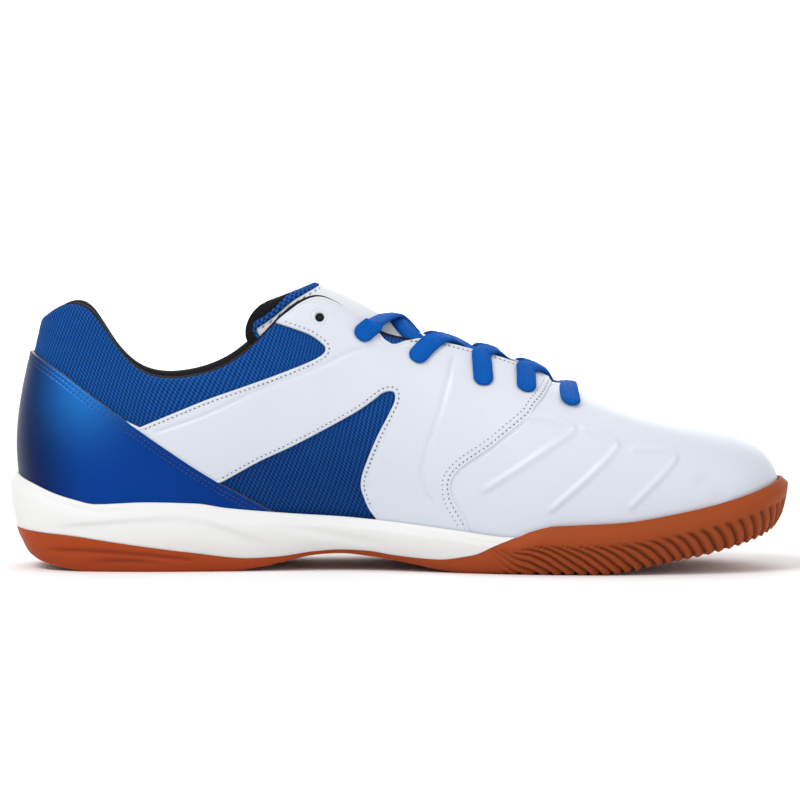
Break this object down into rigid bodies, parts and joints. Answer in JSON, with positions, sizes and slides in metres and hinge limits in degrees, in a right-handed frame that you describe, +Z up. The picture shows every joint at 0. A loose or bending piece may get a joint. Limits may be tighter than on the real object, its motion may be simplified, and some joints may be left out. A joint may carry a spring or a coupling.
{
  "type": "indoor soccer shoe",
  "caption": "Low-cut lace-up indoor soccer shoe with a gum rubber outsole wrapping the toe, a white foam midsole, mesh collar and white and blue synthetic panels.",
  "frame": {"origin": "on the floor, under the middle of the shoe's bounding box", "axes": "+X from heel to toe, +Y towards the outer side of the left foot, +Z up"},
  "size_m": [0.294, 0.0982, 0.1066],
  "materials": {
    "gum_rubber": "satin gum rubber",
    "white_foam": "matt moulded foam",
    "blue_mesh": "knitted sports mesh",
    "white_synthetic": "smooth white synthetic with a slight pearl gloss",
    "metallic_blue_synthetic": "metallic coated synthetic",
    "tongue_padding": "white synthetic face, blue mesh binding, dark lining",
    "insole_cloth": "dark brushed cloth",
    "blue_lace": "flat woven polyester"
  },
  "bodies": {
    "root": {"outsole": "gum_rubber", "midsole": "white_foam", "upper": "blue_mesh", "vamp": "white_synthetic", "quarter_inner": "white_synthetic", "quarter_outer": "white_synthetic", "heel_counter": "metallic_blue_synthetic", "tongue": "tongue_padding", "insole": "insole_cloth", "lace_crossing_1": "blue_lace", "lace_crossing_2": "blue_lace", "lace_crossing_3": "blue_lace", "lace_crossing_4": "blue_lace", "lace_bar": "blue_lace"}
  },
  "joints": []
}
